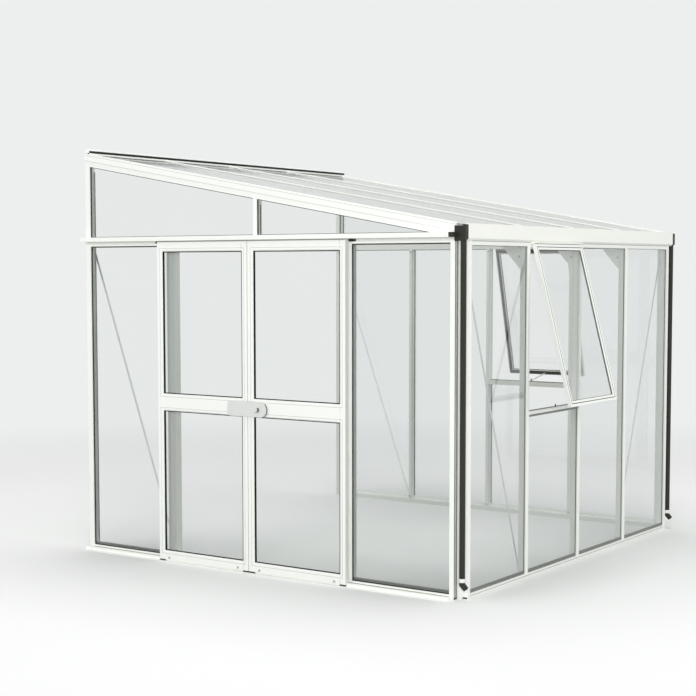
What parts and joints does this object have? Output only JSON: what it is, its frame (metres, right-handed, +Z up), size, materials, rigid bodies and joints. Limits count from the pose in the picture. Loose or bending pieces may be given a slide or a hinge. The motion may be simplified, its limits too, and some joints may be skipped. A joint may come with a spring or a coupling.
{
  "type": "lean-to greenhouse",
  "caption": "Lean-to greenhouse of white aluminium bars and clear glass with a double sliding door, two open top-hung windows, a gutter and downpipes.",
  "frame": {"origin": "middle of the overall box in plan, at ground level", "axes": "+X along the house wall from the door side to the far side, +Y towards the house wall, +Z up"},
  "size_m": [3.3178, 3.1858, 2.6819],
  "materials": {
    "white_frame": "satin white powder coat on aluminium",
    "white_gutter": "satin white powder coat on aluminium",
    "black_plastic": "matt black moulded plastic",
    "black_rubber": "matt black rubber",
    "clip_plastic": "translucent white plastic",
    "bare_aluminium": "mill-finish aluminium",
    "clear_glass": "clear toughened glass",
    "zinc_steel": "zinc-plated steel with a nylon wheel",
    "grey_plastic": "light grey moulded plastic"
  },
  "bodies": {
    "greenhouse": {"base_front": "white_frame", "base_sides": "white_frame", "corner_posts": "white_frame", "wall_posts": "white_frame", "front_bars": "white_frame", "door_jambs": "white_frame", "far_bars": "white_frame", "front_head": "white_frame", "head_rails": "white_frame", "gable_mullions": "white_frame", "rafters": "white_frame", "roof_bars": "white_frame", "ridge_profile": "white_frame", "eaves_gussets": "white_frame", "window_sills": "white_frame", "window_hinge_bars": "white_frame", "window_stiles": "white_frame", "window_rails": "white_frame", "door_track": "white_frame", "door_guide": "white_frame", "gutter": "white_gutter", "gutter_ends": "black_plastic", "downpipes": "black_plastic", "pipe_elbows": "black_plastic", "door_track_plug": "black_plastic", "ridge_seal": "black_rubber", "pipe_clips": "clip_plastic", "braces": "bare_aluminium", "window_stays": "bare_aluminium", "front_panes": "clear_glass", "door_side_panes": "clear_glass", "far_side_panes": "clear_glass", "gable_top_panes": "clear_glass", "roof_panes": "clear_glass", "window_panes": "clear_glass"},
    "wall_leaf": {"wall_leaf_stiles": "white_frame", "wall_leaf_rails": "white_frame", "wall_leaf_panes": "clear_glass", "wall_leaf_hangers": "zinc_steel"},
    "front_leaf": {"front_leaf_stiles": "white_frame", "front_leaf_rails": "white_frame", "front_leaf_panes": "clear_glass", "front_leaf_hangers": "zinc_steel", "door_lock": "grey_plastic"}
  },
  "joints": [
    {"name": "wall_leaf_slide", "type": "slide", "parent": "greenhouse", "child": "wall_leaf", "axis": [0, 1, 0], "range_m": [0, 0.665]},
    {"name": "front_leaf_slide", "type": "slide", "parent": "greenhouse", "child": "front_leaf", "axis": [0, -1, 0], "range_m": [0, 0.69]}
  ]
}
